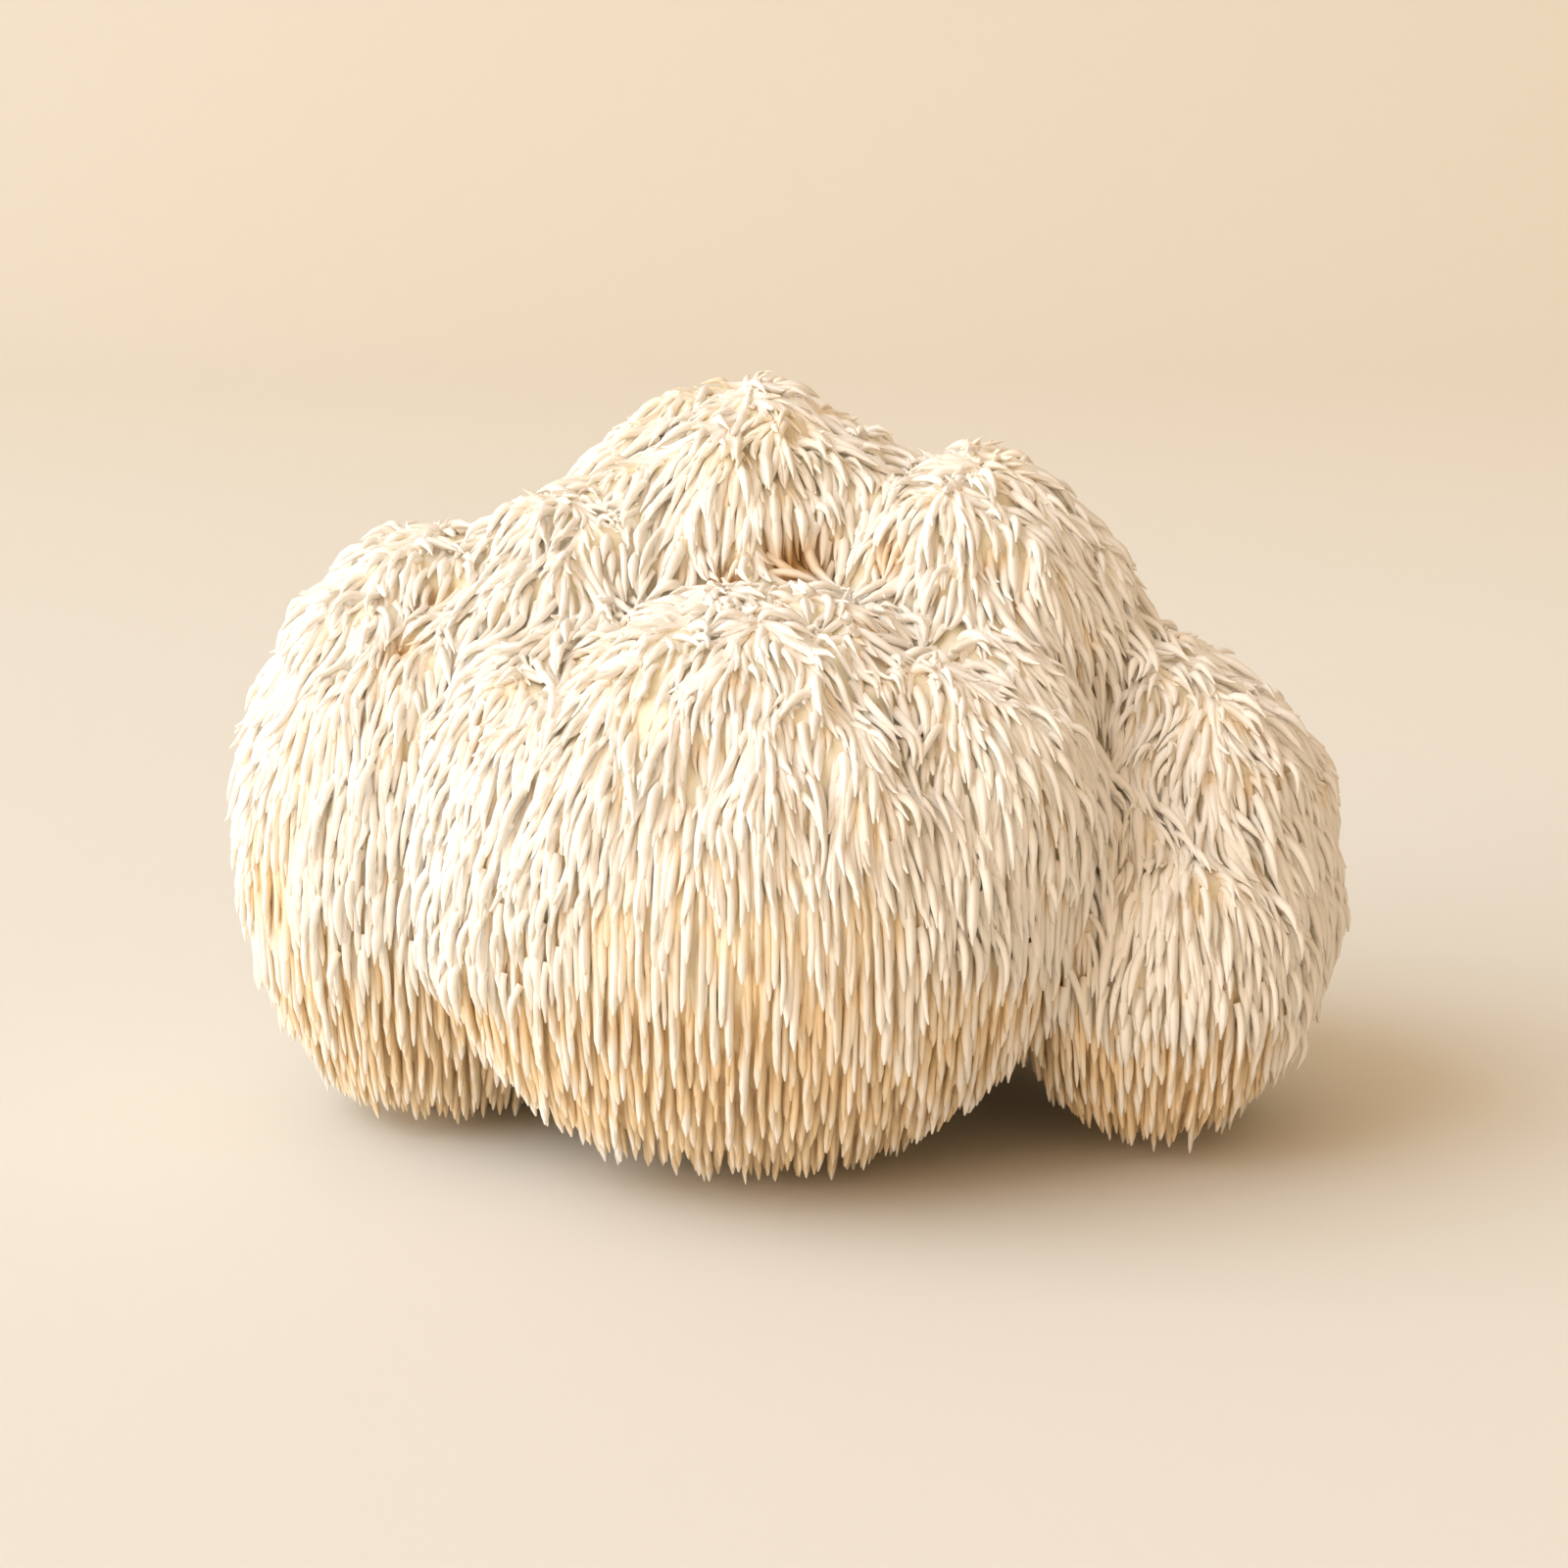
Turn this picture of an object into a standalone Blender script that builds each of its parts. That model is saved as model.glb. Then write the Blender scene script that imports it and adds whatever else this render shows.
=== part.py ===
"""A lion's mane mushroom: one fruiting body with hanging spines, picked and cut from its block.

The form is a cluster of rounded lobes that grew together. Every spine is fused to the flesh it grows
from, so the whole mushroom is one closed solid. It stands on its flat cut and on its lowest spine tips.
Metres, +Z up, front towards -Y, the origin under the middle of the mushroom on the surface it rests on.
"""

import math
import random
from itertools import product

import bmesh
import bpy
from mathutils import Matrix, Vector
from mathutils.bvhtree import BVHTree

# Driving dimensions. All the others are shares of the width.
WIDTH = 0.150
CUT_RADIUS = 0.115 * WIDTH

# Each lobe's centre and radii, as shares of the width.
LOBES = {
    "front": ((-0.028, -0.145, 0.245), (0.290, 0.240, 0.257)),
    "front_right": ((0.150, -0.153, 0.307), (0.120, 0.160, 0.163)),
    "front_left": ((-0.187, -0.120, 0.307), (0.130, 0.173, 0.170)),
    "left": ((-0.310, 0.040, 0.250), (0.190, 0.220, 0.280)),
    "right": ((0.340, 0.007, 0.207), (0.160, 0.187, 0.227)),
    "right_front": ((0.327, -0.087, 0.167), (0.140, 0.153, 0.170)),
    "upper_left": ((-0.187, 0.013, 0.407), (0.117, 0.153, 0.160)),
    "upper_right": ((0.150, 0.030, 0.427), (0.170, 0.173, 0.170)),
    "crown": ((-0.033, 0.087, 0.430), (0.200, 0.190, 0.220)),
    "back_left": ((-0.187, 0.220, 0.253), (0.193, 0.173, 0.267)),
    "back_right": ((0.187, 0.207, 0.240), (0.193, 0.173, 0.253)),
    "back_top": ((0.020, 0.213, 0.360), (0.167, 0.147, 0.200)),
    "core": ((0.000, 0.027, 0.253), (0.227, 0.200, 0.220)),
}
MIDDLE = Vector((0.0, 0.02, 0.30)) * WIDTH
BLEND_VOXEL = 0.012 * WIDTH
BLEND_ROUNDS = 3

# Spines stand this far apart round the mushroom, and further apart down its sides.
SPINE_PITCH = 0.0245 * WIDTH
SIDE_STRETCH = 1.9
SPINE_LENGTH = 0.100 * WIDTH
SPINE_DEPTH = 0.034 * WIDTH
TOP_DEPTH_SHARE = 0.6
ROOM_SHARE = 0.5
CLIMB_STEPS = 4
LEAST_FLESH_HEIGHT = 0.02 * WIDTH
EASE_ROUNDS = 24
EASE_SHARE = 0.25
CUT_CORNERS = 26
CUT_CLEARANCE = 0.03 * WIDTH
CANDIDATES = 24000
SEED = 11

FLESH_COLOUR = (0.86, 0.76, 0.61, 1.0)
FLESH_ROUGHNESS = 0.62


def clear_scene():
    """Removes whatever the startup file holds."""
    for obj in list(bpy.data.objects):
        bpy.data.objects.remove(obj)


def blended_lobes():
    """The lobes as one smooth skin, kept as a tree that can be asked for rays and nearest points."""
    bm = bmesh.new()
    for centre, radii in LOBES.values():
        place = Matrix.Translation(Vector(centre) * WIDTH) @ Matrix.Diagonal((*(Vector(radii) * WIDTH), 1.0))
        bmesh.ops.create_icosphere(bm, subdivisions=4, radius=1.0, matrix=place)
    mesh = bpy.data.meshes.new("lobe_guide")
    bm.to_mesh(mesh)
    bm.free()
    guide = bpy.data.objects.new("lobe_guide", mesh)
    bpy.context.scene.collection.objects.link(guide)
    join = guide.modifiers.new("join", "REMESH")
    join.mode = "VOXEL"
    join.voxel_size = BLEND_VOXEL
    soften = guide.modifiers.new("soften", "SMOOTH")
    soften.factor = 0.5
    soften.iterations = BLEND_ROUNDS
    skin = BVHTree.FromObject(guide, bpy.context.evaluated_depsgraph_get())
    bpy.data.objects.remove(guide)
    return skin


def outer_point(skin, way):
    """The outermost point of the skin in a direction from the middle, held above the surface it rests on."""
    place, normal, _, _ = skin.ray_cast(MIDDLE + way * WIDTH, -way)
    if place.z < 0:
        place = MIDDLE - way * MIDDLE.z / way.z
        normal = Vector((0, 0, -1))
    return place, normal


def flattened(point):
    """A point in the space where the pitch of the spines is the same down the sides as round them."""
    return Vector((point.x, point.y, point.z / SIDE_STRETCH))


def even_directions(count):
    """Directions spread evenly over a ball, along one spiral."""
    golden = math.pi * (3 - math.sqrt(5))
    for step in range(count):
        height = 1 - 2 * (step + 0.5) / count
        ring = math.sqrt(1 - height * height)
        yield Vector((math.cos(golden * step) * ring, math.sin(golden * step) * ring, height))


def spine_tips(skin):
    """Points spread over the skin, none closer to another than the pitch, and none on the cut."""
    ways = list(even_directions(CANDIDATES))
    random.Random(SEED).shuffle(ways)
    foot = Vector((MIDDLE.x, MIDDLE.y, 0.0))
    taken, tips = {}, []
    for way in ways:
        tip, _ = outer_point(skin, way)
        if (tip - foot).length < CUT_RADIUS + CUT_CLEARANCE:
            continue
        flat = flattened(tip)
        cell = tuple(math.floor(c / SPINE_PITCH) for c in flat)
        near = [tuple(c + s for c, s in zip(cell, step)) for step in product((-1, 0, 1), repeat=3)]
        if any((flat - other).length < SPINE_PITCH for key in near for other in taken.get(key, ())):
            continue
        taken.setdefault(cell, []).append(flat)
        tips.append(tip)
    return tips


def room_below(skin, place, normal):
    """How long a spine can be here before it meets the next lobe down."""
    fall = Vector((0, 0, -1)) + normal * max(0.0, normal.z)
    start = place + normal * SPINE_DEPTH * 0.5
    _, _, _, distance = skin.ray_cast(start, fall, SPINE_LENGTH / ROOM_SHARE)
    return SPINE_LENGTH if distance is None else distance * ROOM_SHARE


def home_point(way, place):
    """The flesh straight under a point of the skin, on the line to the middle, where nothing can cross."""
    home = place - way * SPINE_DEPTH
    if home.z < LEAST_FLESH_HEIGHT:
        home = MIDDLE + (home - MIDDLE) * ((MIDDLE.z - LEAST_FLESH_HEIGHT) / (MIDDLE.z - home.z))
    return home


def valley_point(skin, place, normal):
    """The flesh between three spines: up the slope from their tips, or straight up under an overhang."""
    root = place
    stride = room_below(skin, place, normal) / CLIMB_STEPS
    for _ in range(CLIMB_STEPS):
        root = root + (Vector((0, 0, 1)) - normal * max(0.0, normal.z)) * stride
        near, near_normal, _, _ = skin.find_nearest(root)
        if (near - root).dot(near_normal) < 0:
            root, normal = near, near_normal
    depth = SPINE_DEPTH * (1 - (1 - TOP_DEPTH_SHARE) * max(0.0, normal.z))
    near, near_normal, _, _ = skin.find_nearest(root)
    if (near - root).dot(near_normal) < depth:
        root = near - near_normal * depth
    root.z = max(root.z, LEAST_FLESH_HEIGHT)
    return root


def crossing_corners(solid):
    """The corners of all faces that pass through another face."""
    solid.faces.ensure_lookup_table()
    tree = BVHTree.FromBMesh(solid)
    found = set()
    for one, other in tree.overlap(tree):
        pair = set(solid.faces[one].verts), set(solid.faces[other].verts)
        if not pair[0] & pair[1]:
            found |= pair[0] | pair[1]
    return found


def uncrossed(solid, homes):
    """Draws valleys towards their homes, a little at a time, until no spine passes through another."""
    for _ in range(EASE_ROUNDS):
        crossing = crossing_corners(solid)
        if not crossing:
            break
        beside = {edge.other_vert(vert) for vert in crossing for edge in vert.link_edges}
        for vert in (crossing | beside) & homes.keys():
            vert.co = vert.co.lerp(homes[vert], EASE_SHARE)


def cut_rim():
    """The corners of the flat cut, where the mushroom was sliced from its block."""
    foot = Vector((MIDDLE.x, MIDDLE.y, 0.0))
    turns = [math.tau * corner / CUT_CORNERS for corner in range(CUT_CORNERS)]
    return [foot + Vector((math.cos(turn), math.sin(turn), 0.0)) * CUT_RADIUS for turn in turns]


def spine_layout(peaks):
    """Which spines are neighbours: the hull of their directions, seen from the middle of the mushroom."""
    ball = bmesh.new()
    for peak in peaks:
        ball.verts.new((flattened(peak) - flattened(MIDDLE)).normalized())
    bmesh.ops.convex_hull(ball, input=ball.verts)
    bmesh.ops.triangulate(ball, faces=[face for face in ball.faces if len(face.verts) > 3])
    ball.verts.index_update()
    ball.faces.index_update()
    return ball


def fruiting_body_mesh():
    """One closed surface: each growing point is a tip, and each gap between three of them is a valley."""
    skin = blended_lobes()
    tips = spine_tips(skin)
    peaks = tips + cut_rim()
    layout = spine_layout(peaks)
    solid = bmesh.new()
    corners = [solid.verts.new(peak) for peak in peaks]
    valleys, homes = {}, {}
    for face in layout.faces:
        around = [vert.index for vert in face.verts]
        if min(around) >= len(tips):
            continue
        way = (sum((peaks[index] for index in around), Vector()) / len(around) - MIDDLE).normalized()
        place, normal = outer_point(skin, way)
        valleys[face.index] = solid.verts.new(valley_point(skin, place, normal))
        homes[valleys[face.index]] = home_point(way, place)
    for edge in layout.edges:
        a, b = (corners[vert.index] for vert in edge.verts)
        between = [valleys[face.index] for face in edge.link_faces if face.index in valleys]
        if len(between) == 2:
            solid.faces.new((a, between[0], between[1]))
            solid.faces.new((b, between[1], between[0]))
        elif between:
            solid.faces.new((a, b, between[0]))
    solid.faces.new(corners[len(tips):])
    layout.free()
    uncrossed(solid, homes)
    bmesh.ops.recalc_face_normals(solid, faces=solid.faces)
    mesh = bpy.data.meshes.new("fruiting_body")
    solid.to_mesh(mesh)
    solid.free()
    return mesh


def centred(mesh):
    """Moves the mesh so that the middle of its box is over the origin."""
    points = [vert.co for vert in mesh.vertices]
    middle = [(min(p[axis] for p in points) + max(p[axis] for p in points)) / 2 for axis in range(2)]
    mesh.transform(Matrix.Translation((-middle[0], -middle[1], 0.0)))
    return mesh


def flesh_material():
    """Cream white, matt and slightly moist."""
    material = bpy.data.materials.new("mushroom_flesh")
    material.use_nodes = True
    shader = material.node_tree.nodes["Principled BSDF"]
    shader.inputs["Base Color"].default_value = FLESH_COLOUR
    shader.inputs["Roughness"].default_value = FLESH_ROUGHNESS
    shader.inputs["Metallic"].default_value = 0.0
    return material


def build():
    """The whole mushroom, as one named solid."""
    clear_scene()
    mesh = centred(fruiting_body_mesh())
    mesh.materials.append(flesh_material())
    body = bpy.data.objects.new("fruiting_body", mesh)
    bpy.context.scene.collection.objects.link(body)


build()
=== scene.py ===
# %% [markdown]
# # Dressing a lion's mane mushroom
# The frame holds the mushroom as one faceted solid of the right size. This lesson gives it the looks of
# the real one: several thousand soft spines that hang from a cluster of lobes, in warm studio light.
# The frame is loaded first, because every size below is worked out from its box.

# %% Load the frame
import math

import bmesh
import bpy
from mathutils import Matrix, Vector, noise


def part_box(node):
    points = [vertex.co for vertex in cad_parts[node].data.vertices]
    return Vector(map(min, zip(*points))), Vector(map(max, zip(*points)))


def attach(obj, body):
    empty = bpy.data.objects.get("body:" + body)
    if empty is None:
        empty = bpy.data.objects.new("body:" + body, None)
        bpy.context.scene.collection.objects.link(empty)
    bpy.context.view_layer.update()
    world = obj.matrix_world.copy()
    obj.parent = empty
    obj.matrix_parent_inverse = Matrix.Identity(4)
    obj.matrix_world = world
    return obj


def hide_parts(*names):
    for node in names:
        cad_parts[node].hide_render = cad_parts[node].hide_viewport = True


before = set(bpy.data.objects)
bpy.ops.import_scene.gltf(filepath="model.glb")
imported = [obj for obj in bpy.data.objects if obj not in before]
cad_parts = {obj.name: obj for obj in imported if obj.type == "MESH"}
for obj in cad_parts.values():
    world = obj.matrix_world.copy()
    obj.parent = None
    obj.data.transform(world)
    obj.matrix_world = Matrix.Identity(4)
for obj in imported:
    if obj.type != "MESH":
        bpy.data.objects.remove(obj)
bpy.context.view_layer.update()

BODY = "root"
NODE = "fruiting_body"
MM = 0.001

low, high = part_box(NODE)
WIDTH = high.x - low.x
print(f"frame box {[round(side / MM, 1) for side in high - low]} mm")

# %% [markdown]
# ## The camera
# The photograph looks slightly down on the mushroom from the front with a longer lens, which keeps the
# lobes from bulging towards the viewer. The camera comes early, so that every later cell can be rendered.

# %% Place the camera
LENS = 85
CAMERA_DISTANCE = 0.498
CAMERA_ELEVATION = math.radians(12)
AIM = Vector((0, 0, 0.046))

camera_data = bpy.data.cameras.new("photo_camera")
camera_data.lens = LENS
camera = bpy.data.objects.new("photo_camera", camera_data)
backwards = Vector((0, -math.cos(CAMERA_ELEVATION), math.sin(CAMERA_ELEVATION)))
camera.location = AIM + backwards * CAMERA_DISTANCE
camera.rotation_euler = backwards.to_track_quat("Z", "Y").to_euler()
bpy.context.scene.collection.objects.link(camera)
bpy.context.scene.camera = camera
print(f"camera {CAMERA_DISTANCE} m away, {LENS} mm lens")

# %% [markdown]
# ## The lobes
# A lion's mane grows as a cluster of rounded lobes. Each is an ellipsoid here, given by its centre and
# radii as shares of the mushroom's width, so that the same table holds at any size. Sculpting would be
# another way, but a table can be read, and set against the photograph one lobe at a time.

# %% The table of lobes
LOBES = {
    "front": ((-0.028, -0.145, 0.245), (0.290, 0.240, 0.257)),
    "front_right": ((0.150, -0.153, 0.307), (0.120, 0.160, 0.163)),
    "front_left": ((-0.187, -0.120, 0.307), (0.130, 0.173, 0.170)),
    "left": ((-0.310, 0.040, 0.250), (0.190, 0.220, 0.280)),
    "right": ((0.340, 0.007, 0.207), (0.160, 0.187, 0.227)),
    "right_front": ((0.327, -0.087, 0.167), (0.140, 0.153, 0.170)),
    "upper_left": ((-0.187, 0.013, 0.407), (0.117, 0.153, 0.160)),
    "upper_right": ((0.150, 0.030, 0.427), (0.170, 0.173, 0.170)),
    "crown": ((-0.033, 0.087, 0.430), (0.200, 0.190, 0.220)),
    "back_left": ((-0.187, 0.220, 0.253), (0.193, 0.173, 0.267)),
    "back_right": ((0.187, 0.207, 0.240), (0.193, 0.173, 0.253)),
    "back_top": ((0.020, 0.213, 0.360), (0.167, 0.147, 0.200)),
    "core": ((0.000, 0.027, 0.253), (0.227, 0.200, 0.220)),
}
COATS = {
    "front": ("front", "front_left", "front_right"),
    "left": ("left",),
    "right": ("right", "right_front"),
    "top": ("upper_left", "upper_right", "crown", "core"),
    "back": ("back_left", "back_right", "back_top"),
}


def ellipsoid(bm, centre, radii):
    """Adds one lobe to a mesh: a ball of triangles stretched to its radii."""
    place = Matrix.Translation(centre) @ Matrix.Diagonal((*radii, 1.0))
    bmesh.ops.create_icosphere(bm, subdivisions=4, radius=1.0, matrix=place)


# %% [markdown]
# ## The skin
# The lobes are joined by a voxel remesh and softened, as in the frame's own source, so the two agree.
# Low lumps are then pushed in and out where the skin faces up: on the real one, old spines melt together
# there into tufts, with a few small pits left between them, whose brown is painted shade. The skin isn't
# kept: it only tells the spines where to end and which way is downhill.

# %% Blend the lobes into a skin
BLEND_VOXEL = 0.012 * WIDTH
BLEND_ROUNDS = 3


def blended(name, bm, voxel, rounds):
    """One closed surface from overlapping shapes, by a voxel remesh and a little smoothing."""
    rough = bpy.data.meshes.new(name + "_rough")
    bm.to_mesh(rough)
    bm.free()
    guide = bpy.data.objects.new(name + "_rough", rough)
    bpy.context.scene.collection.objects.link(guide)
    join = guide.modifiers.new("join", "REMESH")
    join.mode = "VOXEL"
    join.voxel_size = voxel
    soften = guide.modifiers.new("soften", "SMOOTH")
    soften.factor = 0.5
    soften.iterations = rounds
    depsgraph = bpy.context.evaluated_depsgraph_get()
    mesh = bpy.data.meshes.new_from_object(guide.evaluated_get(depsgraph))
    bpy.data.objects.remove(guide)
    bpy.data.meshes.remove(rough)
    mesh.name = name
    return mesh


bm = bmesh.new()
for centre, radii in LOBES.values():
    ellipsoid(bm, Vector(centre) * WIDTH, Vector(radii) * WIDTH)
skin = blended("skin", bm, BLEND_VOXEL, BLEND_ROUNDS)
places = [vert.co for vert in skin.vertices]
middle = [(min(p[axis] for p in places) + max(p[axis] for p in places)) / 2 for axis in range(2)]
SHIFT = -Vector((*middle, 0.0))
skin.transform(Matrix.Translation(SHIFT))
shift_in_mm = [round(length / MM, 2) for length in SHIFT]
print(f"skin of {len(skin.polygons)} faces, moved {shift_in_mm} mm to the frame's middle")

# %% Push lumps and pits into the skin
LUMP_SIZE = 0.075 * WIDTH
LUMP_HEIGHT = 0.014 * WIDTH
TUFT_SIZE = 0.038 * WIDTH
TUFT_HEIGHT = 0.015 * WIDTH
SIDE_LUMP_SHARE = 0.2
PIT_DEPTH = 0.020 * WIDTH

# Each pit's middle and radius, as shares of the width.
PITS = [
    ((0.013, -0.083, 0.522), 0.036), ((-0.046, -0.100, 0.512), 0.020), ((0.088, -0.100, 0.530), 0.024),
    ((-0.300, -0.069, 0.485), 0.020), ((-0.328, -0.118, 0.452), 0.018), ((-0.261, -0.236, 0.382), 0.020),
]


def smooth_step(low, high, value):
    """0 below low, 1 above high, and an even ramp between."""
    share = min(1.0, max(0.0, (value - low) / (high - low)))
    return share * share * (3 - 2 * share)


def pit_share(place):
    """1 in the middle of a pit, 0 outside every pit."""
    ways_out = [(place - Vector(centre) * WIDTH).length / (radius * WIDTH) for centre, radius in PITS]
    return 1 - smooth_step(0.3, 1.0, min(ways_out))


facings = [vert.normal.copy() for vert in skin.vertices]
pits = [pit_share(vert.co) for vert in skin.vertices]
for vert, facing, pit in zip(skin.vertices, facings, pits):
    upward = smooth_step(-0.1, 0.6, facing.z)
    lump = noise.noise(vert.co / LUMP_SIZE, noise_basis="PERLIN_ORIGINAL") * LUMP_HEIGHT
    tuft = noise.noise(vert.co / TUFT_SIZE, noise_basis="PERLIN_ORIGINAL") * TUFT_HEIGHT
    vert.co += facing * ((lump + tuft) * (SIDE_LUMP_SHARE + (1 - SIDE_LUMP_SHARE) * upward) - PIT_DEPTH * pit)
skin.update()
skin.attributes.new("pit", "FLOAT", "POINT").data.foreach_set("value", pits)
print(f"{sum(pit > 0.5 for pit in pits)} corners of the skin lie in {len(PITS)} pits")

# %% Note which coat each patch of skin belongs to


def lobe_share(name, place):
    """How far out a place is from a lobe's centre: 1 on the lobe's own surface."""
    centre, radii = (Vector(values) * WIDTH for values in LOBES[name])
    away = place - SHIFT - centre
    return sum((away[axis] / radii[axis]) ** 2 for axis in range(3)) ** 0.5


def nearest_lobe(place):
    """The name of the lobe that a point of the skin belongs to."""
    return min(LOBES, key=lambda name: lobe_share(name, place))


coat_of_lobe = {lobe: number for number, lobes in enumerate(COATS.values()) for lobe in lobes}
coat_numbers = [coat_of_lobe[nearest_lobe(face.center)] for face in skin.polygons]
skin.attributes.new("coat", "INT", "FACE").data.foreach_set("value", coat_numbers)


def hollow_share(place):
    """1 where two lobes meet, 0 on the open part of a lobe."""
    shares = sorted(lobe_share(name, place) for name in LOBES)
    return 1 - smooth_step(0.15, 0.55, shares[1] - shares[0])


hollows = [hollow_share(vert.co) for vert in skin.vertices]
skin.attributes.new("hollow", "FLOAT", "POINT").data.foreach_set("value", hollows)
facings = [part for vert in skin.vertices for part in vert.normal]
skin.attributes.new("skin_normal", "FLOAT_VECTOR", "POINT").data.foreach_set("vector", facings)
skin_object = bpy.data.objects.new("skin", skin)
bpy.context.scene.collection.objects.link(skin_object)
print({name: coat_numbers.count(number) for number, name in enumerate(COATS)})

# %% [markdown]
# ## Sums written as nodes
# Materials and Geometry Nodes are both trees of small sums. Written by hand they are long, so one class
# wraps a socket: a + or * on it adds the Math or Vector Math node, and a reader sees the formula.

# %% A wire that can be added and multiplied


class Wire:
    """An output socket of a node tree that can stand in a sum."""

    def __init__(self, tree, socket):
        self.tree = tree
        self.socket = socket

    def sum_node(self, operation, first, second):
        """A Math node, or a Vector Math node where either side is a vector."""
        sides = (first, second)
        wires = [side for side in sides if isinstance(side, Wire)]
        vector = any(isinstance(side, (tuple, Vector)) for side in sides)
        vector = vector or any(wire.socket.type in ("VECTOR", "RGBA") for wire in wires)
        kind = "ShaderNodeVectorMath" if vector else "ShaderNodeMath"
        return node(self.tree, kind, {"operation": operation}, {0: first, 1: second})

    def __add__(self, other):
        return self.sum_node("ADD", self, other)

    def __radd__(self, other):
        return self.sum_node("ADD", other, self)

    def __sub__(self, other):
        return self.sum_node("SUBTRACT", self, other)

    def __rsub__(self, other):
        return self.sum_node("SUBTRACT", other, self)

    def __mul__(self, other):
        return self.sum_node("MULTIPLY", self, other)

    def __rmul__(self, other):
        return self.sum_node("MULTIPLY", other, self)

    def __truediv__(self, other):
        return self.sum_node("DIVIDE", self, other)

    def __pow__(self, other):
        return self.sum_node("POWER", self, other)

    def __gt__(self, other):
        return self.sum_node("GREATER_THAN", self, other)


def found(sockets, key):
    """A socket by its number, or the first one in use with a name."""
    if isinstance(key, int):
        return sockets[key]
    return next(socket for socket in sockets if socket.name == key and socket.enabled)


def node(tree, kind, settings=None, inputs=None, output=0):
    """Any node: its settings first, then the values or wires of its sockets. Returns one output."""
    made = tree.nodes.new(kind)
    for name, value in (settings or {}).items():
        setattr(made, name, value)
    for key, value in (inputs or {}).items():
        socket = found(made.inputs, key)
        if isinstance(value, Wire):
            tree.links.new(value.socket, socket)
        elif socket.type == "VECTOR" and isinstance(value, (int, float)):
            socket.default_value = (value, value, value)
        else:
            socket.default_value = value
    return Wire(tree, found(made.outputs, output)) if made.outputs else made


# %% [markdown]
# ## Growing spines
# Spines can't be hair particles here, because the object is exported as plain meshes. Geometry Nodes grow
# them, in two ways. Hanging spines are walked from their tips back to their roots, uphill over the skin, so
# that upper ones lie over the roots of lower ones like thatch. Tufts on the crests are walked the other way,
# out of the flesh and over. Both start from points spread over the skin, and both end as tubes.

# %% Small sums that both trees need


def ramp(value, low, high, first=0.0, last=1.0):
    """A smooth ramp from first to last as a value goes from low to high."""
    sockets = {"Value": value, "From Min": low, "From Max": high, "To Min": first, "To Max": last}
    return node(value.tree, "ShaderNodeMapRange", {"interpolation_type": "SMOOTHSTEP"}, sockets)


def at_least(value, least):
    """A value, or a lower limit where the value is less."""
    return node(value.tree, "ShaderNodeMath", {"operation": "MAXIMUM"}, {0: value, 1: least})


def parts_of(vector):
    """The x, y and z of a vector."""
    return [node(vector.tree, "ShaderNodeSeparateXYZ", {}, {0: vector}, axis) for axis in range(3)]


def dot(first, second):
    """How far two vectors point the same way."""
    sockets = {0: first, 1: second}
    return node(first.tree, "ShaderNodeVectorMath", {"operation": "DOT_PRODUCT"}, sockets, "Value")


def unit(vector):
    """A vector's direction, one long."""
    return node(vector.tree, "ShaderNodeVectorMath", {"operation": "NORMALIZE"}, {0: vector})


def random_number(number, low, high, seed):
    """A random value for each number."""
    sockets = {"Min": low, "Max": high, "ID": number, "Seed": seed}
    return node(number.tree, "FunctionNodeRandomValue", {"data_type": "FLOAT"}, sockets, "Value")


def wander(place, size, own=0.0):
    """A smooth random vector field with bumps of a size; another field for each own number."""
    field = node(place.tree, "ShaderNodeTexNoise", {"noise_dimensions": "4D"},
                 {"Vector": place, "W": own, "Scale": 1 / size, "Detail": 1.0}, "Color")
    return field - (0.5, 0.5, 0.5)


def stored(geometry, name, value):
    """The geometry with a number stored at each of its points."""
    return node(geometry.tree, "GeometryNodeStoreNamedAttribute", {"data_type": "FLOAT", "domain": "POINT"},
                {"Geometry": geometry, "Name": name, "Value": value})


def moved(geometry, place, chosen=True):
    """The geometry with its chosen points put at a place."""
    return node(geometry.tree, "GeometryNodeSetPosition", {},
                {"Geometry": geometry, "Selection": chosen, "Position": place})


# %% Where the skin is, seen from a point


def noted(tree, name, kind="FLOAT"):
    """What was noted on the skin under a name."""
    return node(tree, "GeometryNodeInputNamedAttribute", {"data_type": kind}, {"Name": name})


def beneath(skin_geometry, place, name, kind="FLOAT"):
    """What was noted under a name at the nearest place of the skin."""
    sockets = {"Mesh": skin_geometry, "Value": noted(place.tree, name, kind), "Sample Position": place}
    return node(place.tree, "GeometryNodeSampleNearestSurface", {"data_type": kind}, sockets, "Value")


def near_skin(skin_geometry, place):
    """The nearest place on the skin, and the way it faces there."""
    nearest = node(place.tree, "GeometryNodeProximity", {"target_element": "FACES"},
                   {"Geometry": skin_geometry, "Sample Position": place}, "Position")
    return nearest, unit(beneath(skin_geometry, place, "skin_normal", "FLOAT_VECTOR"))


def depth_noted(geometry, skin_geometry):
    """The geometry with each point's depth under the skin, in millimetres, and its share in a pit."""
    place = node(geometry.tree, "GeometryNodeInputPosition")
    nearest, facing = near_skin(skin_geometry, place)
    geometry = stored(geometry, "depth", dot(nearest - place, facing) / MM)
    return stored(geometry, "pit", beneath(skin_geometry, place, "pit"))


# %% Start a tree and name its inputs
SPINE_INPUTS = {
    "Geometry": "Geometry", "Material": "Material",
    "Coat": "Int", "Seed": "Int", "Points": "Int", "Sides": "Int",
    "Spacing": "Float", "Facing From": "Float", "Facing To": "Float", "Thickness": "Float", "Taper": "Float",
    "Root Swell": "Float", "Length": "Float", "Length Spread": "Float", "Root Depth": "Float",
}


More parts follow.
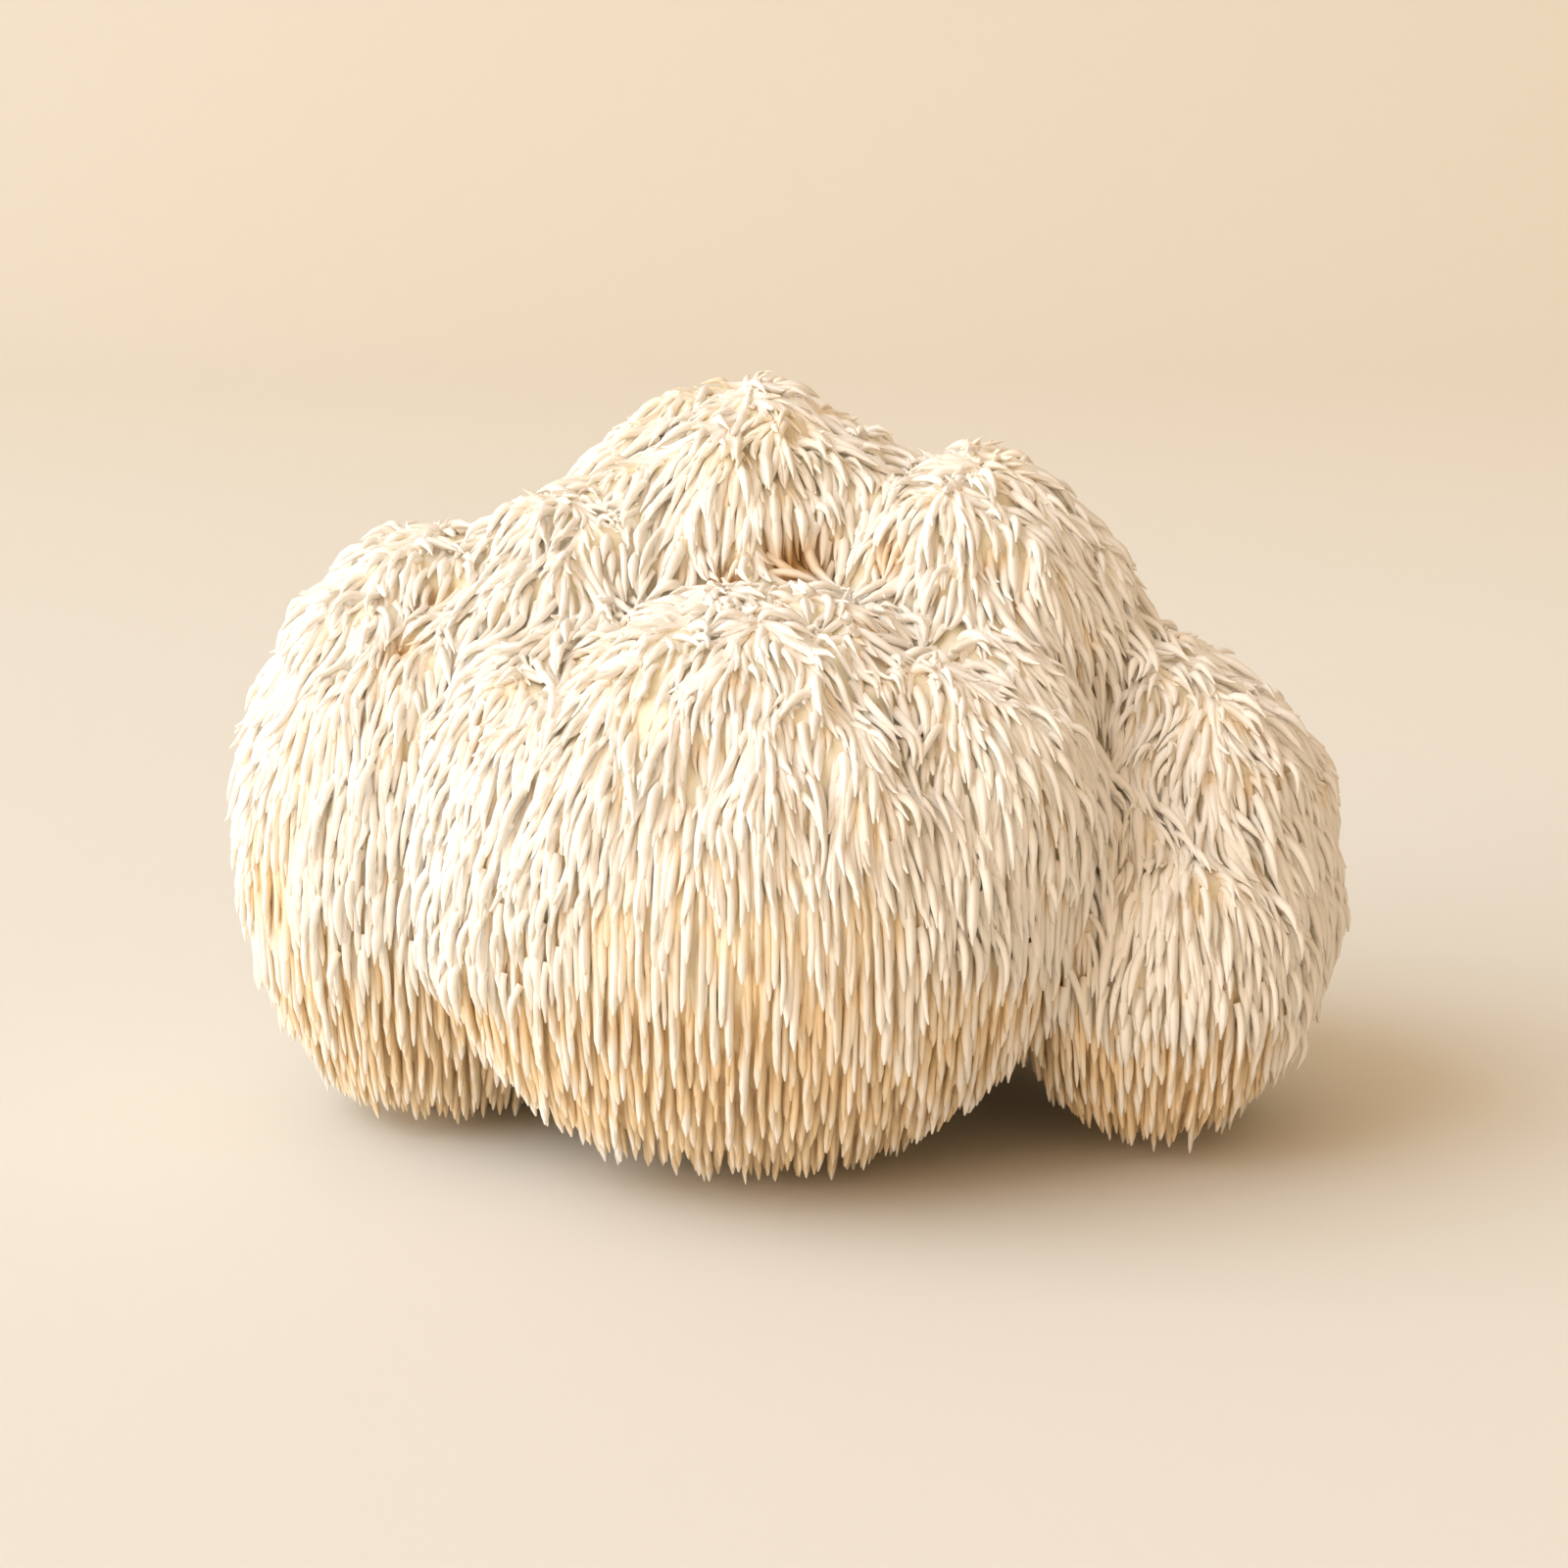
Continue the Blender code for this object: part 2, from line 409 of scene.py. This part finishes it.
def started_tree(name, inputs):
    """A tree with one geometry output, and wires from its named inputs."""
    tree = bpy.data.node_groups.new(name, "GeometryNodeTree")
    tree.interface.new_socket("Geometry", in_out="OUTPUT", socket_type="NodeSocketGeometry")
    for socket_name, kind in inputs.items():
        tree.interface.new_socket(socket_name, in_out="INPUT", socket_type="NodeSocket" + kind)
    group_in = tree.nodes.new("NodeGroupInput")
    return tree, {socket.name: Wire(tree, socket) for socket in group_in.outputs if socket.name}


def finished_tree(geometry, material):
    """Ends a tree: real geometry with its material goes to the output."""
    tree = geometry.tree
    real = node(tree, "GeometryNodeRealizeInstances", {}, {"Geometry": geometry})
    real = node(tree, "GeometryNodeSetMaterial", {}, {"Geometry": real, "Material": material})
    tree.links.new(real.socket, tree.nodes.new("NodeGroupOutput").inputs["Geometry"])
    print(f"{tree.name}: {len(tree.nodes)} nodes")


# %% Spread the points that spines grow at
CUT_RADIUS = 0.115 * WIDTH
BARE_HEIGHT = 0.1 * WIDTH
DEEPEST_TIP = -0.010 * WIDTH
MOST_PER_AREA = 4e6
FACING_BLUR = 0.08
HOLLOW_FACING = -0.1


def spread_points(given, hollows_too=False):
    """Points on one coat's share of the skin, none over the cut and none well below the floor."""
    tree = given["Geometry"].tree
    points = node(tree, "GeometryNodeDistributePointsOnFaces", {"distribute_method": "POISSON"},
                  {"Mesh": given["Geometry"], "Distance Min": given["Spacing"], "Density Max": MOST_PER_AREA,
                   "Seed": given["Seed"]})
    coat_sockets = {0: noted(tree, "coat", "INT"), 1: given["Coat"], 2: 0.1}
    own = node(tree, "ShaderNodeMath", {"operation": "COMPARE"}, coat_sockets)
    blur = random_number(node(tree, "GeometryNodeInputIndex"), -FACING_BLUR, FACING_BLUR, 9)
    upward = parts_of(noted(tree, "skin_normal", "FLOAT_VECTOR"))[2] + blur
    x, y, z = parts_of(node(tree, "GeometryNodeInputPosition"))
    over_cut = (CUT_RADIUS - (x * x + y * y) ** 0.5 > 0) * (BARE_HEIGHT - z > 0)
    out_of_range = (given["Facing From"] - upward > 0) + (upward - given["Facing To"] > 0)
    if hollows_too:
        out_of_range = out_of_range * (1 - (noted(tree, "hollow") > 0.5) * (upward > HOLLOW_FACING))
    lost = (1 - own) + over_cut + (DEEPEST_TIP - z > 0) + out_of_range
    return node(tree, "GeometryNodeDeleteGeometry", {"domain": "POINT"},
                {"Geometry": points, "Selection": lost > 0.5})


# %% Put a folded spine on every point and walk it


def folded_spines(points, corners):
    """A line at every point, with all its corners in one place. Also the numbers of its lines and corners."""
    tree = points.tree
    line = node(tree, "GeometryNodeCurvePrimitiveLine", {}, {"Start": (0, 0, 0), "End": (0, 0, 1)})
    line = node(tree, "GeometryNodeResampleCurve", {"mode": "COUNT"}, {"Curve": line, "Count": corners})
    spines = node(tree, "GeometryNodeInstanceOnPoints", {}, {"Points": points, "Instance": line})
    spines = node(tree, "GeometryNodeRealizeInstances", {}, {"Geometry": spines})
    spine_number = node(tree, "GeometryNodeCurveOfPoint", {}, {}, "Curve Index")
    corner_number = node(tree, "GeometryNodeCurveOfPoint", {}, {}, "Index in Curve")
    along = corner_number / (corners - 1)
    back_to_root = {"Geometry": spines, "Offset": along * (0.0, 0.0, -1.0)}
    spines = node(tree, "GeometryNodeSetPosition", {}, back_to_root)
    return spines, spine_number, corner_number


def walked_spines(spines, steps, corner_number, next_place):
    """Unfolds every spine: step by step its remaining corners move on, and one is left behind each time."""
    tree = spines.tree
    walk_in = tree.nodes.new("GeometryNodeRepeatInput")
    walk_out = tree.nodes.new("GeometryNodeRepeatOutput")
    walk_in.pair_with_output(walk_out)
    tree.links.new(steps.socket, walk_in.inputs["Iterations"])
    tree.links.new(spines.socket, walk_in.inputs["Geometry"])
    step = Wire(tree, walk_in.outputs["Iteration"])
    place = next_place(node(tree, "GeometryNodeInputPosition"), step)
    walked = moved(Wire(tree, walk_in.outputs["Geometry"]), place, corner_number > step + 0.5)
    tree.links.new(walked.socket, walk_out.inputs["Geometry"])
    return Wire(tree, walk_out.outputs["Geometry"])


def smoothed(spines, rounds):
    """The spines with the kinks between their corners evened out."""
    place = node(spines.tree, "GeometryNodeInputPosition")
    even = node(spines.tree, "GeometryNodeBlurAttribute", {"data_type": "FLOAT_VECTOR"},
                {"Value": place, "Iterations": rounds})
    return moved(spines, even)


# %% Turn walked spines into tubes
TIP_SHARE = 0.14
THINNEST = 0.72
THICKEST = 1.28


def spine_tubes(given, spines, spine_number, from_tip, rootward):
    """Closed tubes, pointed at the tip and swollen at the root, with what their materials read."""
    taper = ramp(from_tip, given["Taper"] * -0.2, given["Taper"], TIP_SHARE, 1.0)
    girth = given["Thickness"] * random_number(spine_number, THINNEST, THICKEST, 3)
    girth = girth * taper * (1 + rootward * given["Root Swell"])
    ring_sockets = {"Resolution": given["Sides"], "Radius": 1.0}
    ring = node(spines.tree, "GeometryNodeCurvePrimitiveCircle", {}, ring_sockets)
    spines = stored(spines, "tone", random_number(spine_number, 0.0, 1.0, 4))
    tubes = node(spines.tree, "GeometryNodeCurveToMesh", {},
                 {"Curve": spines, "Profile Curve": ring, "Scale": girth, "Fill Caps": True})
    tubes = node(spines.tree, "GeometryNodeSetShadeSmooth", {}, {"Geometry": tubes})
    return depth_noted(tubes, given["Geometry"])


# %% [markdown]
# ### Hanging spines
# The tip of each is a point of the skin, sunk by a random amount so that some show between others. From
# there the spine is walked up to its root, deeper at each step. Waves shared by neighbours gather the
# spines into locks, and a wave of its own keeps each a little different. The step at the tip is a short
# one, so that a spine keeps its width almost to its end, as real ones do.

# %% The tree of hanging spines
TIP_CLEARANCE = 0.4 * MM
TIP_HEIGHT_SPREAD = 1.6 * MM
SWIRL_SIZE = 0.05 * WIDTH
SWIRL_TURN = 1.5
LOCK_SIZE = 0.034 * WIDTH
OWN_WAVE_SIZE = 0.05 * WIDTH
OVERHANG_LEAN = 0.4
SHORT_END = 0.55

hanging, given = started_tree("hanging_spines", {
    **SPINE_INPUTS, "Sink": "Float", "Sink Spread": "Float",
    "Lock": "Float", "Wave": "Float", "Tip Lift": "Float"})
skin_wire = given["Geometry"]
spines, spine_number, corner_number = folded_spines(spread_points(given), given["Points"])
steps = given["Points"] - 1
floor_height = random_number(spine_number, TIP_CLEARANCE, TIP_CLEARANCE + TIP_HEIGHT_SPREAD, 5)
sink = given["Sink"] + given["Sink Spread"] * random_number(spine_number, 0.0, 1.0, 6)
length = given["Length"] * (1 + given["Length Spread"] * random_number(spine_number, -1.0, 1.0, 1))


def above_floor(place):
    """A place, lifted so that it isn't below the spine's own least height."""
    x, y, z = parts_of(place)
    return node(place.tree, "ShaderNodeCombineXYZ", {}, {"X": x, "Y": y, "Z": at_least(z, floor_height)})


def uphill_place(place, step):
    """The next corner towards the root: uphill along the skin, or straight up under an overhang."""
    _, facing = near_skin(skin_wire, place)
    upward = parts_of(facing)[2]
    uphill = (0.0, 0.0, 1.0) - facing * at_least(upward, upward * OVERHANG_LEAN)
    swirl = wander(place, SWIRL_SIZE)
    swirl = swirl - facing * dot(swirl, facing)
    heading = unit(uphill + swirl * ramp(upward, 0.3, 1.0, 0.0, SWIRL_TURN))
    stride = length / steps * (1 - SHORT_END * (0.5 - step > 0))
    ahead = place + heading * stride
    ahead_skin, ahead_facing = near_skin(skin_wire, ahead)
    wanted = sink + at_least(given["Root Depth"] - sink, 0.0) * ((step + 1) / steps) ** 1.3
    return ahead - ahead_facing * at_least(wanted - dot(ahead_skin - ahead, ahead_facing), 0.0)


position = node(hanging, "GeometryNodeInputPosition")
_, tip_facing = near_skin(skin_wire, position)
spines = moved(spines, above_floor(position - tip_facing * sink))
spines = smoothed(walked_spines(spines, steps, corner_number, uphill_place), 1)
rootward = corner_number / steps
free = (1 - rootward) ** 0.7
lock_wave = wander(position * (1.0, 1.0, 0.2), LOCK_SIZE) * given["Lock"]
own_wave = wander(position * (0.4, 0.4, 1.0), OWN_WAVE_SIZE, random_number(spine_number, 0.0, 40.0, 2))
lifted = tip_facing * (given["Tip Lift"] * random_number(spine_number, 0.0, 1.0, 12) ** 2.0 * free ** 3.0)
spines = moved(spines, above_floor(position + (lock_wave + own_wave * given["Wave"]) * (2 * free) + lifted))
from_tip = node(hanging, "GeometryNodeSplineParameter", {}, {}, "Length")
tubes = spine_tubes(given, spines, spine_number, from_tip, rootward)
finished_tree(tubes, given["Material"])

# %% [markdown]
# ### Tufts
# On the crests and in the saddles between lobes there is no way down, so short spines stand out there and
# fall over each other. Each is walked from its root, in the flesh, outward past the skin, then over and
# downhill, wandering as it goes.

# %% The tree of tufts
TUFT_SWIRL_SIZE = 0.055 * WIDTH
TUFT_OWN_SIZE = 0.040 * WIDTH

tufts, given = started_tree("tufts", {
    **SPINE_INPUTS, "Lift": "Float", "Fall": "Float",
    "Swirl": "Float", "Own Swirl": "Float", "Rise": "Float"})
skin_wire = given["Geometry"]
spines, spine_number, corner_number = folded_spines(spread_points(given, True), given["Points"])
steps = given["Points"] - 1
length = given["Length"] * (1 + given["Length Spread"] * random_number(spine_number, -1.0, 1.0, 1))
rise = given["Rise"] * random_number(spine_number, 0.0, 1.0, 7) ** 2.0
own_number = random_number(spine_number, 0.0, 60.0, 8)


def outward_place(place, step):
    """The next corner towards the tip: out of the flesh at first, then over and downhill."""
    _, facing = near_skin(skin_wire, place)
    upward = parts_of(facing)[2]
    share = (step + 0.5) / steps
    downhill = (0.0, 0.0, -1.0) + facing * at_least(upward, 0.0)
    swirl = wander(place, TUFT_SWIRL_SIZE) * given["Swirl"]
    swirl = swirl + wander(place, TUFT_OWN_SIZE, own_number) * given["Own Swirl"]
    swirl = swirl - facing * dot(swirl, facing)
    calm = ramp(upward, 0.0, 0.9, 0.45, 1.0)
    lift = given["Lift"] * ramp(share, 0.1, 0.9, 1.0, -0.1)
    heading = unit(facing * lift + downhill * given["Fall"] * (0.4 + share) + swirl * calm)
    ahead = place + heading * (length / steps * (1 - SHORT_END * (step + 1.5 - steps > 0)))
    ahead_skin, ahead_facing = near_skin(skin_wire, ahead)
    above = dot(ahead - ahead_skin, ahead_facing)
    return ahead - ahead_facing * at_least(above - rise, 0.0)


position = node(tufts, "GeometryNodeInputPosition")
_, root_facing = near_skin(skin_wire, position)
spines = moved(spines, position - root_facing * given["Root Depth"])
spines = smoothed(walked_spines(spines, steps, corner_number, outward_place), 2)
from_root = node(tufts, "GeometryNodeSplineParameter", {}, {}, "Length")
full_length = node(tufts, "GeometryNodeSplineLength", {}, {}, "Length")
tubes = spine_tubes(given, spines, spine_number, full_length - from_root, 1 - corner_number / steps)
finished_tree(tubes, given["Material"])

# %% [markdown]
# ## The colours of the mushroom
# Fresh flesh is cream white, matt and slightly moist. Light that goes into it comes out warmer, which is
# why the gaps between the spines look tan. Subsurface scattering would be the usual way, but it gives
# coloured fringes on tubes that overlap. So that warm light and shade is painted into the spines' colour by
# their depth under the skin: nearly white outside, painted tan shade inside, painted brown shade in a pit.
# Old tips on the crown are slightly yellow.

# %% The spines' material
TIP_COLOUR = (0.97, 0.94, 0.88, 1.0)
# Painted shade: the deep tan stands in for warm scattered light and shade between the spines.
DEEP_SHADE_COLOUR = (0.97, 0.79, 0.53, 1.0)
AGED_COLOUR = (0.94, 0.84, 0.64, 1.0)
# Painted shade: the brown of a pit stands in for the shade deep in the hollow.
PIT_SHADE_COLOUR = (0.82, 0.56, 0.27, 1.0)
SHADE_DEPTH = 1.7
SCATTER_RADIUS = (1.0, 0.62, 0.36)
SCATTER_SCALE = 2.2 * MM


def mixed(factor, first, last):
    """A colour between two colours."""
    sockets = {"Factor": factor, "A": first, "B": last}
    return node(factor.tree, "ShaderNodeMix", {"data_type": "RGBA"}, sockets, "Result")


def read(tree, name):
    """A number that was stored on the mesh for its material."""
    return node(tree, "ShaderNodeAttribute", {"attribute_name": name}, {}, "Fac")


def speckle(tree, scale, detail):
    """Soft noise over the object, about 0.5 on average. Also the place that it reads."""
    place = node(tree, "ShaderNodeTexCoord", {}, {}, "Object")
    sockets = {"Vector": place, "Scale": scale, "Detail": detail}
    return node(tree, "ShaderNodeTexNoise", {}, sockets, "Fac"), place


def flesh_shader(name, scatter):
    """A material with the flesh's constant values set on its shader, and that shader."""
    material = bpy.data.materials.new(name)
    material.use_nodes = True
    shader = material.node_tree.nodes["Principled BSDF"]
    shader.inputs["Subsurface Weight"].default_value = scatter
    shader.inputs["Subsurface Radius"].default_value = SCATTER_RADIUS
    shader.inputs["Subsurface Scale"].default_value = SCATTER_SCALE
    shader.inputs["Specular IOR Level"].default_value = 0.35
    return material, shader


spine_material, shader = flesh_shader("spine_flesh", 0.0)
tree = spine_material.node_tree
tone = read(tree, "tone")
mottle, _ = speckle(tree, 60.0, 3.0)
patches, object_place = speckle(tree, 45.0, 2.0)
# Painted shade: the colour turns tan with depth under the skin.
painted_shade_mix = ramp(read(tree, "depth") + (tone - 0.5) * 0.6 + (mottle - 0.5) * 0.8, 0.0, SHADE_DEPTH)
aged = ramp(parts_of(object_place)[2], 0.55 * WIDTH, 0.64 * WIDTH) * ramp(patches, 0.42, 0.62)
base_colour = mixed(aged, TIP_COLOUR, AGED_COLOUR)
base_colour = mixed(painted_shade_mix, base_colour, DEEP_SHADE_COLOUR)
# Painted shade: brown in the pits.
base_colour = mixed(read(tree, "pit"), base_colour, PIT_SHADE_COLOUR)
tree.links.new(base_colour.socket, shader.inputs["Base Color"])
tree.links.new((0.5 + (tone - 0.5) * 0.15).socket, shader.inputs["Roughness"])

# %% A coat as a plain mesh


def as_piece(name, mesh):
    """A named object for a finished mesh."""
    mesh.name = name
    piece = bpy.data.objects.new(name, mesh)
    bpy.context.scene.collection.objects.link(piece)
    triangles = sum(len(face.vertices) - 2 for face in mesh.polygons)
    print(f"{name}: {triangles} triangles")
    return piece


def run_tree(thing, tree, values):
    """The mesh that a tree makes of an object: its inputs are set first, then it is evaluated."""
    identifiers = {item.name: item.identifier for item in tree.interface.items_tree if item.in_out == "INPUT"}
    runner = thing.modifiers.new("run", "NODES")
    runner.node_group = tree
    for socket_name, value in values.items():
        runner[identifiers[socket_name]] = value
    depsgraph = bpy.context.evaluated_depsgraph_get()
    mesh = bpy.data.meshes.new_from_object(thing.evaluated_get(depsgraph))
    thing.modifiers.remove(runner)
    return mesh


# %% Grow the hanging spines
SEED = 4
HANGING = {
    "Seed": SEED, "Facing From": -2.0, "Facing To": 0.40, "Points": 8, "Sides": 4,
    "Spacing": 0.0127 * WIDTH, "Length": 0.155 * WIDTH, "Length Spread": 0.3,
    "Thickness": 0.0035 * WIDTH, "Root Swell": 0.15, "Taper": 0.013 * WIDTH,
    "Sink": 0.0, "Sink Spread": 0.010 * WIDTH, "Root Depth": 0.016 * WIDTH,
    "Lock": 0.008 * WIDTH, "Wave": 0.004 * WIDTH, "Tip Lift": 0.008 * WIDTH, "Material": spine_material,
}
pieces = [as_piece(name + "_spines", run_tree(skin_object, hanging, {"Coat": number, **HANGING}))
          for number, name in enumerate(COATS)]

# %% Grow the ropes on the upper slopes
FREE_ROPES = {
    "Seed": SEED + 2, "Facing From": 0.05, "Facing To": 2.0, "Points": 8, "Sides": 4,
    "Spacing": 0.0122 * WIDTH, "Length": 0.105 * WIDTH, "Length Spread": 0.35,
    "Thickness": 0.0039 * WIDTH, "Root Swell": 0.4, "Taper": 0.022 * WIDTH,
    "Sink": 0.0, "Sink Spread": 0.005 * WIDTH, "Root Depth": 0.013 * WIDTH,
    "Lock": 0.013 * WIDTH, "Wave": 0.008 * WIDTH, "Tip Lift": 0.012 * WIDTH, "Material": spine_material,
}
pieces += [as_piece(name + "_ropes", run_tree(skin_object, hanging, {"Coat": number, **FREE_ROPES}))
           for number, name in enumerate(COATS)]

# %% Grow the tufts
TUFTS = {
    "Seed": SEED + 3, "Facing From": 0.6, "Facing To": 2.0, "Points": 7, "Sides": 4,
    "Spacing": 0.0145 * WIDTH, "Length": 0.075 * WIDTH, "Length Spread": 0.4,
    "Thickness": 0.0036 * WIDTH, "Root Swell": 0.3, "Taper": 0.022 * WIDTH, "Root Depth": 0.013 * WIDTH,
    "Lift": 1.0, "Fall": 1.2, "Swirl": 1.8, "Own Swirl": 0.9, "Rise": 0.012 * WIDTH,
    "Material": spine_material,
}
pieces += [as_piece(name + "_tufts", run_tree(skin_object, tufts, {"Coat": number, **TUFTS}))
           for number, name in enumerate(COATS)]

# %% [markdown]
# ## The flesh under the spines
# The spines grow from solid flesh. It lies just under the skin on the upper slopes and far inside under
# the lobes, where the spines hang free. The skin is moved inward by that much, a stub is added under it,
# and a voxel remesh joins both into one closed surface, which is sliced flat where the mushroom was cut
# from its block.

# %% A tree that notes the depth of the flesh
noter, given = started_tree("depth_note", {"Geometry": "Geometry", "Skin": "Object", "Material": "Material"})
skin_seen = node(noter, "GeometryNodeObjectInfo", {}, {"Object": given["Skin"]}, "Geometry")
finished_tree(depth_noted(given["Geometry"], skin_seen), given["Material"])

# %% The flesh's material
# Painted shade: the flesh turns a darker tan with its depth under the skin.
FLESH_LIGHT = (0.97, 0.87, 0.70, 1.0)
FLESH_SHADE_COLOUR = (0.95, 0.72, 0.44, 1.0)

flesh_material, shader = flesh_shader("inner_flesh", 0.5)
tree = flesh_material.node_tree
mottle, _ = speckle(tree, 220.0, 4.0)
# Painted shade: darker tan with depth under the skin.
painted_shade_mix = ramp(read(tree, "depth") + (mottle - 0.5) * 1.6, 0.4, 2.4)
base_colour = mixed(painted_shade_mix, FLESH_LIGHT, FLESH_SHADE_COLOUR)
# Painted shade: brown in the pits.
base_colour = mixed(read(tree, "pit"), base_colour, PIT_SHADE_COLOUR)
tree.links.new(base_colour.socket, shader.inputs["Base Color"])
tree.links.new((0.45 + mottle * 0.2).socket, shader.inputs["Roughness"])
bump = node(tree, "ShaderNodeBump", {}, {"Strength": 0.4, "Distance": 0.3 * MM, "Height": mottle})
tree.links.new(bump.socket, shader.inputs["Normal"])

# %% Model the flesh and its flat cut
TOP_DEPTH = 0.0050 * WIDTH
SIDE_DEPTH = 0.0085 * WIDTH
UNDER_DEPTH = 0.030 * WIDTH
FLESH_ROUNDS = 2
CUT_HEIGHT = 0.2 * MM
FLESH_VOXEL = 0.0075 * WIDTH
STUB_HEIGHT = 0.2 * WIDTH
STUB_FLARE = 1.15

bm = bmesh.new()
bm.from_mesh(skin)
bm.normal_update()
for vert in bm.verts:
    upward = vert.normal.z
    depth = SIDE_DEPTH + (TOP_DEPTH - SIDE_DEPTH) * smooth_step(0.2, 0.6, upward)
    depth += (UNDER_DEPTH - SIDE_DEPTH) * smooth_step(0.0, 0.7, -upward)
    vert.co -= vert.normal * depth
stub_place = Matrix.Translation((0, 0, 0.4 * STUB_HEIGHT))
bmesh.ops.create_cone(bm, cap_ends=True, segments=48, radius1=CUT_RADIUS, radius2=CUT_RADIUS * STUB_FLARE,
                      depth=2 * STUB_HEIGHT, matrix=stub_place)
flesh_rough = blended("flesh_rough", bm, FLESH_VOXEL, FLESH_ROUNDS)
bm = bmesh.new()
bm.from_mesh(flesh_rough)
everything = bm.verts[:] + bm.edges[:] + bm.faces[:]
cut = bmesh.ops.bisect_plane(bm, geom=everything, plane_co=(0, 0, CUT_HEIGHT), plane_no=(0, 0, -1),
                             clear_outer=True)
rim = [item for item in cut["geom_cut"] if isinstance(item, bmesh.types.BMEdge)]
bmesh.ops.contextual_create(bm, geom=rim)
bmesh.ops.recalc_face_normals(bm, faces=bm.faces)
bm.to_mesh(flesh_rough)
bm.free()
rough = bpy.data.objects.new("flesh_rough", flesh_rough)
bpy.context.scene.collection.objects.link(rough)
flesh_mesh = run_tree(rough, noter, {"Skin": skin_object, "Material": flesh_material})
flesh_mesh.shade_smooth()
bpy.data.objects.remove(rough)
pieces.append(as_piece("flesh", flesh_mesh))

# %% Hand the pieces to the frame
bpy.data.objects.remove(skin_object)
for piece in pieces:
    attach(piece, BODY)
    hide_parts(NODE)

# %% [markdown]
# ## The studio
# A cream sweep of paper, one large cool light from the upper left, a low warm one from the front left, and
# a warm fill from all round that is weaker on the right. Cool light with a warm fill turns the shaded side
# of each spine tan. The paper curves up far behind, so there is no horizon line; there its colour is
# painted warmer and a little darker, as painted shade for the less cool light it gets.

# %% The paper sweep
SWEEP_COLOUR = (0.76, 0.755, 0.715, 1.0)
# Painted shade: the far paper is warmer and darker, for the less cool light it gets.
FAR_SHADE_COLOUR = (0.75, 0.705, 0.61, 1.0)
SWEEP_HALF_WIDTH = 4.5
SWEEP_FRONT = -5.0
SWEEP_BACK = 1.0
SWEEP_RADIUS = 0.8
SWEEP_HEIGHT = 2.5
SWEEP_STEPS = 24

profile_points = [(SWEEP_FRONT, 0.0)]
for step in range(SWEEP_STEPS + 1):
    turn = math.pi / 2 * step / SWEEP_STEPS
    profile_points.append((SWEEP_BACK + SWEEP_RADIUS * math.sin(turn), SWEEP_RADIUS * (1 - math.cos(turn))))
profile_points.append((SWEEP_BACK + SWEEP_RADIUS, SWEEP_HEIGHT))
bm = bmesh.new()
rows = [[bm.verts.new((side * SWEEP_HALF_WIDTH, y, z)) for side in (-1, 1)] for y, z in profile_points]
for near_row, far_row in zip(rows, rows[1:]):
    bm.faces.new((near_row[0], near_row[1], far_row[1], far_row[0]))
sweep_mesh = bpy.data.meshes.new("paper_sweep")
bm.to_mesh(sweep_mesh)
bm.free()
sweep_mesh.shade_smooth()
sweep = bpy.data.objects.new("paper_sweep", sweep_mesh)
bpy.context.scene.collection.objects.link(sweep)
paper = bpy.data.materials.new("paper")
paper.use_nodes = True
paper_shader = paper.node_tree.nodes["Principled BSDF"]
away = parts_of(node(paper.node_tree, "ShaderNodeTexCoord", {}, {}, "Object"))[1]
# Painted shade: warmer and darker towards the back.
paper_colour = mixed(ramp(away, 0.1, 1.3), SWEEP_COLOUR, FAR_SHADE_COLOUR)
paper.node_tree.links.new(paper_colour.socket, paper_shader.inputs["Base Color"])
paper_shader.inputs["Roughness"].default_value = 0.9
paper_shader.inputs["Specular IOR Level"].default_value = 0.1
sweep_mesh.materials.append(paper)

# %% The lights


def soft_light(name, place, size, watts, colour):
    """A square area light that faces the mushroom."""
    data = bpy.data.lights.new(name, "AREA")
    data.size = size
    data.energy = watts
    data.color = colour
    light = bpy.data.objects.new(name, data)
    light.location = place
    light.rotation_euler = (Vector(place) - AIM).to_track_quat("Z", "Y").to_euler()
    bpy.context.scene.collection.objects.link(light)


soft_light("key", (-2.96, -0.96, 2.2), 4.4, 158.0, (0.58, 0.80, 1.0))
soft_light("bounce", (-1.5, -1.6, 0.28), 1.4, 13.0, (1.0, 0.70, 0.42))
FILL = 0.88
FILL_SLOPE = 0.52
world = bpy.data.worlds.new("fill")
world.use_nodes = True
background = world.node_tree.nodes["Background"]
background.inputs["Color"].default_value = (1.0, 0.70, 0.43, 1.0)
rightward = parts_of(node(world.node_tree, "ShaderNodeTexCoord", {}, {}, "Generated"))[0]
world.node_tree.links.new((FILL - rightward * FILL_SLOPE).socket, background.inputs["Strength"])
bpy.context.scene.world = world
bpy.context.scene.view_settings.view_transform = "Standard"
